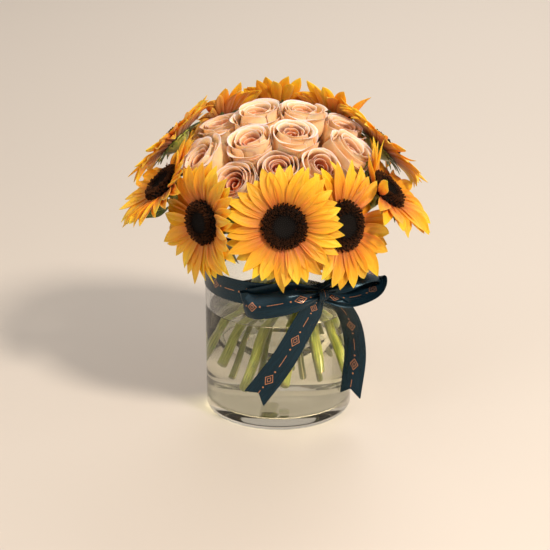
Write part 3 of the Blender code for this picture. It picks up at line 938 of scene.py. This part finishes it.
def ray(bm, frame, root, left, right, tip, rng, grow, sink):
    """One ray: root at the disc, widest half way, and a pointed tip."""
    middle = (left + right) / 2
    across = (right - left).normalized()
    lift = (tip - root).cross(across)
    if lift.z < 0 and abs(lift.z) > lift.xy.length * 0.2:
        lift = -lift
    lift.normalize()
    half = (right - left).length / 2 * grow
    roll = 0.16 + rng.uniform(-0.3, 0.3)
    curl = rng.uniform(-0.14, 0.2)
    fold = rng.uniform(0.10, 0.38)
    ridge = rng.uniform(0.10, 0.22)
    twist = rng.uniform(-0.5, 0.5)
    bend = rng.uniform(-0.09, 0.09)
    length = (tip - root).length

    def place_of(u, v):
        width = half * (0.45 + 0.55 * math.sin(min(1.0, v / 0.45) * math.pi / 2))
        width *= 1.01 - max(0.0, (v - 0.42) / 0.58) ** 1.9
        turn = roll * v + twist * v * v
        side = across * math.cos(turn) + lift * math.sin(turn)
        rise = lift * math.cos(turn) - across * math.sin(turn)
        point = curve_through(root, middle, tip, v)
        point = point + side * u * width + across * bend * length * v * v
        channel = ridge * width * math.cos(u * math.tau) * math.sin(v * math.pi)
        trough = abs(u) ** 1.6 * fold * width
        point = point + rise * (trough + channel + curl * length * v**3 - sink * v)
        return frame @ point

    blade(bm, 6, 8, place_of, tint=rng.random())


def build_rays(name, number):
    frame, _, disc_radius = head_of[name]
    lobes = lobes_of[name]
    rng = random.Random(100 + number)
    bm = blade_mesh("tint")
    start = disc_radius * ROOT_SHARE

    def root_at(place, lift):
        turn = place * WEDGE
        return Vector((start * math.cos(turn), start * math.sin(turn), ROOT_UP + lift))

    for k, lobe in enumerate(lobes):
        if lobe is None:
            continue
        root = root_at(k, FRONT_LIFT)
        tip = root + (lobe["tip"] - root) * rng.uniform(0.92, 1.07)
        ray(bm, frame, root, lobe["left"], lobe["right"], tip, rng, FRONT_GROW, 0)
        after = lobes[(k + 1) % RAYS]
        if after is None or (lobe["tip"] - after["tip"]).length > TIP_GAP:
            continue
        root = root_at(k + 0.5, BACK_LIFT)
        tip = root + ((lobe["tip"] + after["tip"]) / 2 - root) * rng.uniform(0.86, 1.08)
        half = (lobe["right"] - lobe["left"]) / 2
        middle = (lobe["right"] + after["left"]) / 2
        ray(bm, frame, root, middle - half, middle + half, tip, rng, BACK_GROW, BACK_SINK)
    piece = place_piece(bm, name + "_rays", ray_petal, [name + "_petals"])
    thicken(piece, 0.45 * MM)
    return piece


for number, name in enumerate(SUNFLOWERS):
    rays = build_rays(name, number)
print("faces in the last head's rays", len(rays.data.polygons))

# %% [markdown]
# ## Discs of the sunflowers
#
# The dark disc is hundreds of small florets set in the golden-angle spiral that sunflowers grow
# by. Open florets stand in a fuzzy ring round the edge, with brown tips, and the closed ones in
# the middle are nearly black. Each floret is also painted darker towards its foot and in its
# sunken mouth: that is painted shade between the florets and in the mouths. One floret is a cone
# of a few faces, and it is stamped at each place.

# %% Disc floret material
def build_floret():
    material, shader = start_material("disc florets", Roughness=0.75, Specular_IOR_Level=0.2)
    # The ramps run dark where the height is low: painted shade at the florets' feet and in their
    # mouths; the brown at the open florets' tips is their own colour.
    height = mark(material, "height")
    low = ramp(material, height, (0.2, "#080402"), (1.0, "#20120A"))
    high = ramp(material, height, (0.2, "#0C0603"), (0.75, "#2C170B"), (1.0, "#5C3416"))
    both = blended(material, mark(material, "ring"), low, high)
    join(material, both, shader.inputs["Base Color"])
    return material


disc_floret = build_floret()
print("material", disc_floret.name)

# %% Stamp the florets
FLORETS = 330
GOLDEN = math.radians(137.508)
SPREAD = 0.90                       # of the disc's radius that the florets reach
CUP = 0.35                          # of its height, the depth of a floret's open mouth


def one_floret(points, top):
    """A slim cone that opens at its top, standing on the origin, one unit high."""
    bm = bmesh.new()
    height = bm.verts.layers.float.new("height")
    bm.verts.layers.float.new("ring")
    bmesh.ops.create_cone(
        bm,
        cap_ends=True,
        segments=points,
        radius1=0.30,
        radius2=top,
        depth=1.0,
        matrix=Matrix.Translation((0, 0, 0.5)),
    )
    upper = [face for face in bm.faces if face.calc_center_median().z > 0.9]
    # The height drives the disc's colour ramp, so the lower parts of a floret get painted shade.
    for vertex in bm.verts:
        vertex[height] = vertex.co.z
    bmesh.ops.inset_region(bm, faces=upper, thickness=top * 0.55)
    # The sunken mouth is given a low height, so it is painted dark: painted shade inside the mouth.
    for face in upper:
        for vertex in face.verts:
            vertex.co.z -= CUP
            vertex[height] = CUP
    mesh = bpy.data.meshes.new("floret")
    bm.to_mesh(mesh)
    bm.free()
    return mesh


def stamp(bm, mesh, place):
    """Add a copy of a small mesh, and return its new points."""
    copy = mesh.copy()
    copy.transform(place)
    count = len(bm.verts)
    bm.from_mesh(copy)
    bpy.data.meshes.remove(copy)
    bm.verts.ensure_lookup_table()
    return bm.verts[count:]


def build_disc(name, number, open_floret, bud):
    frame, _, radius = head_of[name]
    rng = random.Random(200 + number)
    bm = spin_profile(
        [
            (0, DISC_DOME * 0.1),
            (radius * 0.45, DISC_DOME * 0.3),
            (radius * 0.74, DISC_DOME * 0.1),
            (radius * 0.88, -2 * MM),
            (radius * 0.82, -5 * MM),
            (0, -5 * MM),
        ],
        28,
    )
    bm.verts.layers.float.new("height")
    ring = bm.verts.layers.float.new("ring")
    for i in range(FLORETS):
        share = math.sqrt((i + 0.5) / FLORETS)
        spot = Vector((radius * SPREAD * share, 0, 0))
        spot.rotate(Matrix.Rotation(i * GOLDEN, 3, "Z"))
        raised = min(1.0, max(0.0, (share - 0.40) / 0.22))
        rim_drop = 5.0 * MM * max(0.0, share - 0.86) / 0.14
        shoulder = DISC_DOME * (0.1 + 0.25 * math.sin(share * 2.6)) - rim_drop
        tall = mix(1.3, 3.6, raised) * rng.uniform(0.75, 1.2) * MM
        wide = mix(1.5, 2.0, raised) * MM
        lean = share**2 * 0.75 + rng.uniform(-0.22, 0.22)
        way = Matrix.Rotation(i * GOLDEN, 4, "Z") @ Matrix.Rotation(lean, 4, "Y")
        way = way @ Matrix.Rotation(rng.uniform(-0.25, 0.25), 4, "X")
        size = Matrix.Diagonal((wide, wide, tall, 1))
        place = frame_shift(spot, shoulder) @ way @ size
        for vertex in stamp(bm, open_floret if raised > 0.5 else bud, place):
            vertex[ring] = raised
    bm.transform(frame)
    stands_for = [name + "_disc"]
    return place_piece(bm, name + "_florets", disc_floret, stands_for, smooth=False)


def frame_shift(spot, height):
    return Matrix.Translation((spot.x, spot.y, height - 0.4 * MM))


open_floret = one_floret(5, 0.52)
bud = one_floret(5, 0.22)
for number, name in enumerate(SUNFLOWERS):
    disc = build_disc(name, number, open_floret, bud)
print("faces in a disc", len(disc.data.polygons))


# %% [markdown]
# ## Rose petals
#
# A rose petal is soft and velvety, deeper in colour at its base and in the heart of the bloom, and
# pale with a thin pinkish edge at its lip. Light that enters it spreads, so it needs subsurface
# scattering with a warm radius. Each petal's UV map gives the way to its lip, and an attribute
# says how far from the heart it sits.

# %% Rose petal material
UNEVEN = 0.08                       # how far the veins carry a colour up or down the petal


def build_rose_petal():
    material, shader = start_material(
        "velvety rose petal",
        Roughness=0.55,
        Subsurface_Weight=0.5,
        Subsurface_Radius=(1.0, 0.5, 0.25),
        Subsurface_Scale=3.5 * MM,
        Sheen_Weight=0.25,
    )
    calc = calculator(material)
    place, _, up = uv_of(material)
    veins = noise(material, stretched(material, place, (16.0, 2.0, 1.0)), Scale=1.5, Detail=4.0)
    way = calc("SUBTRACT", calc("MULTIPLY_ADD", veins, UNEVEN, up), UNEVEN / 2)
    heart = ramp(
        material,
        way,
        (0.55, "#E45C22"),
        (0.82, "#F88C4A"),
        (0.94, "#FDB480"),
        (0.99, "#FFDEC8"),
    )
    guard = ramp(
        material,
        way,
        (0.20, "#F8A45C"),
        (0.62, "#FFC88E"),
        (0.90, "#FFD6AE"),
        (0.985, "#FFE2D6"),
    )
    outward = moved(material, mark(material, "outer"), From_Min=0.08, From_Max=0.55)
    strength = moved(material, mark(material, "tint"), To_Min=0.96, To_Max=1.05)
    shift = {"Value": strength, "Color": blended(material, outward, heart, guard)}
    toned = add(material, "ShaderNodeHueSaturation", shift).outputs["Color"]
    return finish_material(material, shader, toned, veins, 0.25, 0.4 * MM)


rose_petal = build_rose_petal()
print("material", rose_petal.name)

# %% [markdown]
# ## Shape of a rose
#
# A bloom is a spiral of cupped petals. Each wraps round the ones inside it: the innermost go
# almost all the way round and stand tight, and the outer ones are broad cups whose lips roll
# outwards. So one rule draws them all, from the heart to the outside: a bowl, a shoulder, and a
# lip that turns over. One side of a petal sits a little further out than the other, which tucks it
# under its neighbour. The crowded blooms press on each other, and a soft limit half way to each
# neighbour flattens them as crowding does. In the back rows the lips have also turned up towards
# the light, while the foot of the bloom stays on its stem.

# %% Form of one petal
LIP_START = 0.76
ROSE_FOOT = -40 * MM
PETALS_IN_ROSE = 18


def petal_rule(share, heart, spread, rng):
    """Sizes of a petal; share is 0 in the heart and 1 outside."""
    inner = max(0.0, 1 - share / 0.5)
    guard = max(0.0, share - 0.62) / 0.38
    return {
        "shoulder": mix(1.8, 23.5 * spread, share**0.85) * MM + guard * rng.uniform(0.5, 2.5) * MM,
        "belly": mix(6.0, 27.0, share**0.7) * MM,
        "top": (-heart * inner**1.3 - guard * rng.uniform(3.0, 16.0) + rng.uniform(-0.9, 0.9)) * MM,
        "roll": math.radians(mix(12, 130, share**1.1) * rng.uniform(0.7, 1.25)),
        "lip": mix(1.5, 4.6, share) * rng.uniform(0.85, 1.2) * MM,
        "wrap": mix(2.5, 1.0, share**0.6),
        "spiral": mix(0.9, 3.2, share) * MM,
        "point": mix(0.0, 0.10, share) * rng.uniform(0.4, 1.3),
        "wave": rng.uniform(0.2, 0.9) * MM,
        "phase": rng.uniform(0, 6),
        "lean": rng.uniform(-0.03, 0.06) + 0.05 * guard,
    }


def petal_place(rule, turn, u, v):
    t = v * (1 - 0.13 * abs(u) ** 2.6) + rule["point"] * v * math.exp(-((u / 0.2) ** 2))
    if t < LIP_START:
        s = t / LIP_START
        bowl = math.sin(min(1.0, s / 0.6) * math.pi / 2)
        closing = max(0.0, (s - 0.6) / 0.4)
        closing = closing * closing * (3 - 2 * closing)
        out = mix(rule["belly"] * bowl, rule["shoulder"], closing)
        up = mix(ROSE_FOOT, rule["top"], s)
    else:
        bend = rule["roll"] * (t - LIP_START) / (1 - LIP_START)
        out = rule["shoulder"] + rule["lip"] * (1 - math.cos(bend))
        up = rule["top"] + rule["lip"] * math.sin(bend)
    corner = max(0.0, t - LIP_START) / (1 - LIP_START)
    width = mix(0.5, 1.0, math.sin(min(1.0, t / 0.6) * math.pi / 2)) * (1 - 0.22 * corner**2)
    angle = turn + rule["wrap"] * u * width
    out += rule["spiral"] * u + rule["lean"] * max(0.0, up - ROSE_FOOT)
    up += rule["wave"] * math.sin(4 * u + rule["phase"]) * t**3
    return Vector((out * math.cos(angle), out * math.sin(angle), up))


# %% Build the blooms
PRESS = 3 * MM                      # how far from a neighbour's wall the flattening starts
BLOOM_MIDDLE = 17.6 * MM
HEAD_ROOM = 5 * MM
UP = Vector((0, 0, 1))
BACK_ROW = 5 * MM                   # blooms further back than this turn up
BLOOM_LIGHT = Vector((0, -0.35, 0.8))
TURN_LOW = -32 * MM                 # a turned bloom bends between these heights
TURN_HIGH = -10 * MM

middles = {name: bloom_of[name][0] @ Vector((0, 0, -BLOOM_MIDDLE)) for name in ROSES}
guards = [
    (head @ Vector((0, 0, -5 * MM)), radius + HEAD_ROOM)
    for head, _, radius in head_of.values()
]


def pressing_walls(name):
    here = middles[name]
    walls = []
    for other, place in middles.items():
        if other != name:
            outward = (place - here).normalized()
            walls.append(((here + place) / 2, outward))
    for place, radius in guards:
        outward = (place - here).normalized()
        walls.append((place - outward * radius, outward))
    return walls


def pressed(point, walls):
    for place, outward in walls:
        past = (point - place).dot(outward) + PRESS
        if past > 0:
            point = point - outward * (past - PRESS * (1 - math.exp(-past / PRESS)))
    return point


def turned_up(frame):
    """The frame of a bloom's lips: those at the back have turned towards the light."""
    place = frame.to_translation()
    if place.y < BACK_ROW:
        return frame
    axis = frame.to_3x3() @ UP
    turn = axis.rotation_difference((axis + BLOOM_LIGHT).normalized()).to_matrix().to_4x4()
    middle = Matrix.Translation(place - axis * BLOOM_MIDDLE)
    return middle @ turn @ middle.inverted() @ frame


def build_bloom(name, number):
    frame, _ = bloom_of[name]
    upper = turned_up(frame)
    walls = pressing_walls(name)
    rng = random.Random(300 + number)
    heart = rng.uniform(5.0, 11.0)
    spread = rng.uniform(0.9, 1.04)
    bm = blade_mesh("outer", "tint")
    turn = rng.uniform(0, 6)
    for i in range(PETALS_IN_ROSE):
        share = (i + 0.5) / PETALS_IN_ROSE
        rule = petal_rule(share, heart, spread, rng)
        turn += math.radians(137.5) + rng.uniform(-0.2, 0.2)

        def place_of(u, v):
            point = petal_place(rule, turn, u, v)
            share = min(1.0, max(0.0, (point.z - TURN_LOW) / (TURN_HIGH - TURN_LOW)))
            share = share * share * (3 - 2 * share)
            return pressed((frame @ point).lerp(upper @ point, share), walls)

        blade(bm, 8, 7, place_of, outer=share, tint=rng.random())
    piece = place_piece(bm, name + "_petals", rose_petal, [name + "_bloom"])
    thicken(piece, 0.3 * MM)
    return piece


for number, name in enumerate(ROSES):
    bloom = build_bloom(name, number)
print("faces in a bloom", len(bloom.data.polygons))


# %% [markdown]
# ## Satin ribbon
#
# The ribbon is woven polyester satin, dyed a deep blue-black. Its long floats lie along the
# ribbon, so its shine is a broad soft band that is brightest where the cloth turns to the light.
# A row of small lozenges and dots in copper foil is printed down its middle. The UV map runs in
# ribbon widths, so the print and the fine cross threads keep their size on every piece.

# %% Satin material
MOTIF_STEP = 1.7                    # ribbon widths between printed motifs
THREADS = 70.0                      # cross threads in a ribbon width, coarser than real


def build_satin():
    material, shader = start_material(
        "blue-black satin",
        Roughness=0.26,
        Specular_IOR_Level=0.6,
        Specular_Tint=colour("#9CC4D8"),
        Anisotropic=0.5,
    )
    calc = calculator(material)
    place, across, length = uv_of(material)
    off = calc("ABSOLUTE", calc("SUBTRACT", across, 0.5))
    part = calc("SUBTRACT", calc("FRACT", calc("DIVIDE", length, MOTIF_STEP)), 0.5)
    along = calc("ABSOLUTE", calc("MULTIPLY", part, MOTIF_STEP))
    diamond = calc("ADD", calc("MULTIPLY", off, 1.25), along)
    outline = calc("LESS_THAN", calc("ABSOLUTE", calc("SUBTRACT", diamond, 0.22)), 0.02)
    inner = calc("LESS_THAN", calc("ABSOLUTE", calc("SUBTRACT", diamond, 0.10)), 0.016)
    past = calc("POWER", calc("SUBTRACT", along, 0.36), 2.0)
    dot = calc("LESS_THAN", calc("SQRT", calc("ADD", calc("POWER", off, 2.0), past)), 0.035)
    dash = calc("MULTIPLY", calc("LESS_THAN", off, 0.012), calc("GREATER_THAN", along, 0.6))
    foil = calc("MAXIMUM", calc("MAXIMUM", outline, inner), calc("MAXIMUM", dot, dash))
    threads = calc("SINE", calc("MULTIPLY", length, THREADS * math.tau))
    uneven = noise(material, stretched(material, place, (6.0, 0.5, 1.0)), Scale=3.0, Detail=2.0)
    dye = ramp(material, uneven, (0.3, "#08161E"), (0.7, "#0E222E"))
    join(material, calc("MULTIPLY", foil, 0.75), shader.inputs["Metallic"])
    both = blended(material, foil, dye, colour("#C98A62"))
    return finish_material(material, shader, both, threads, 0.12, 0.1 * MM)


satin = build_satin()
print("material", satin.name)

# %% [markdown]
# ## Band, loops and tails
#
# Each length of ribbon is a strip that follows a smooth route. Near the knot the cloth is gathered:
# the strip narrows and folds into pleats, which open out again further away. The points of each
# route are given as arc length along the glass, distance off the band and height over its middle.

# %% Strips of ribbon
BOW_AZIMUTH = 30
SATIN = 0.5 * MM
BOW_BACK = glass_radius + 1.4 * MM
PLEAT = 2.2 * MM                    # depth of the pleats at the knot
STRIP_STEPS = 44
MEASURE_STEPS = 60


def bow_point(sideways, outward, height):
    azimuth = BOW_AZIMUTH + math.degrees(sideways * MM / glass_radius)
    return around(azimuth, BOW_BACK + outward * MM, band_middle + height * MM)


def uv_in_widths(bm, length):
    """Let the UV map run along a ribbon in ribbon widths."""
    uv_layer = bm.loops.layers.uv["UVMap"]
    for face in bm.faces:
        for loop in face.loops:
            loop[uv_layer].uv.y *= length / ribbon_width


def strip(name, triples, across_of, gathered, notch=0.0, billow=0.8 * MM):
    """A length of ribbon; gathered(v) is 1 at the knot and 0 where the cloth lies flat."""
    points = [bow_point(*triple) for triple in triples]
    stops = [smooth_point(points, i / MEASURE_STEPS) for i in range(MEASURE_STEPS + 1)]
    length = sum((after - before).length for before, after in zip(stops, stops[1:]))
    bm = blade_mesh()

    def place_of(u, v):
        here = smooth_point(points, v)
        along = (smooth_point(points, v + 0.01) - smooth_point(points, v - 0.01)).normalized()
        across = across_of(v, here, along)
        across = (across - along * across.dot(along)).normalized()
        off = across.cross(along)
        tight = gathered(v)
        width = ribbon_width / 2 * (1 - 0.62 * tight)
        fold = PLEAT * tight * math.cos(u * 7.5) + billow * (1 - tight) * u * u
        cut = notch * max(0.0, (v - 0.9) / 0.1) * (1 - abs(u))
        return here + across * u * width + off * fold - along * cut

    blade(bm, 12, STRIP_STEPS, place_of)
    uv_in_widths(bm, length)
    piece = place_piece(bm, name, satin)
    thicken(piece, SATIN)
    return piece, length


def near_both_ends(v):
    return max(0.0, 1 - min(v, 1 - v) / 0.2) ** 1.5


def near_start(v):
    return max(0.0, 1 - v / 0.22) ** 1.5


bow_out = around(BOW_AZIMUTH, 1, 0)


def leaning(v, here, along):
    return UP - bow_out * 0.4


def rolling(v, here, along):
    """The loop lies over on its side as it goes out, so that its end is seen as a point."""
    over = math.sin(math.pi * v)
    return UP * (1 - 0.7 * over) - bow_out * 1.3 * over


def flat_on_glass(v, here, along):
    return Vector((here.x, here.y, 0)).normalized().cross(along)


def turned_aside(v, here, along):
    return flat_on_glass(v, here, along) + bow_out * min(1.0, v * 3) * 2.0


LEFT_LOOP = [
    (0, 4, 0), (-30, 3, 3), (-58, 3, -4), (-72, 7, -8), (-58, 13, -8), (-30, 15, -1), (0, 8, 0),
]
RIGHT_LOOP = [
    (0, 4, 1), (24, 10, 9), (43, 19, 12), (60, 26, 3), (48, 25, -8), (24, 15, -8), (0, 8, -1),
]
LEFT_TAIL = [(0, 6, -2), (-14, 4, -28), (-36, 2, -70), (-64, 2, -112)]
RIGHT_TAIL = [(0, 6, -2), (26, 11, -26), (40, 12, -72), (36, 9, -122)]
NOTCH = 9 * MM

ribbons = {
    "bow_left_loop": strip("bow_left_loop", LEFT_LOOP, leaning, near_both_ends, billow=3.5 * MM),
    "bow_right_loop": strip("bow_right_loop", RIGHT_LOOP, rolling, near_both_ends, billow=2.5 * MM),
    "bow_left_tail": strip("bow_left_tail", LEFT_TAIL, flat_on_glass, near_start, notch=NOTCH),
    "bow_right_tail": strip("bow_right_tail", RIGHT_TAIL, turned_aside, near_start, notch=NOTCH),
}
for name, (piece, length) in ribbons.items():
    held = "hung" if "tail" in name else "gathered"
    print(name, "length", round(length, 3))

# %% [markdown]
# ## Band and knot
#
# The band is a grid rolled round the glass, with its two ends behind the knot and a few soft
# creases running into it. The knot is a short turn of the same ribbon pulled tight over the
# middle of the bow, so it is a small rounded drum with deep pleats.

# %% Band
CREASE = 0.5 * MM
BAND_STEPS = 120


def build_band():
    bm = blade_mesh()
    length = math.tau * (glass_radius + 0.7 * MM)

    def place_of(u, v):
        azimuth = BOW_AZIMUTH + 360 * v
        near = math.exp(-((min(v, 1 - v) / 0.06) ** 2))
        crease = CREASE * near * (1 + math.sin(u * 6 + v * 40))
        height = band_middle + u * ribbon_width / 2 * (1 - 0.3 * near)
        return around(azimuth, glass_radius + 0.55 * MM + crease, height)

    blade(bm, 8, BAND_STEPS, place_of)
    uv_in_widths(bm, length)
    close_seam(bm)
    piece = place_piece(bm, "ribbon_round_glass", satin, ["ribbon_band"])
    thicken(piece, 0.4 * MM)
    return piece


band = build_band()
print("band faces", len(band.data.polygons))

# %% Knot
KNOT = 5.6 * MM


def build_knot():
    bm = blade_mesh()
    middle = bow_point(0, 10, 0)
    side = UP.cross(bow_out)

    def place_of(u, v):
        turn = v * math.tau
        pleat = 0.9 * MM * math.cos(u * 11 + 0.6 * math.sin(turn)) * (1 - 0.4 * abs(u))
        swell = KNOT * (1.0 - 0.22 * u * u) + pleat
        point = middle + side * u * KNOT * 0.95 + UP * math.cos(turn) * swell
        return point + bow_out * math.sin(turn) * swell * 0.8

    blade(bm, 14, 24, place_of)
    close_seam(bm)
    piece = place_piece(bm, "bow_knot", satin, ["ribbon_bow"])
    thicken(piece, 0.5 * MM)
    return piece


knot = build_knot()
print("knot faces", len(knot.data.polygons))
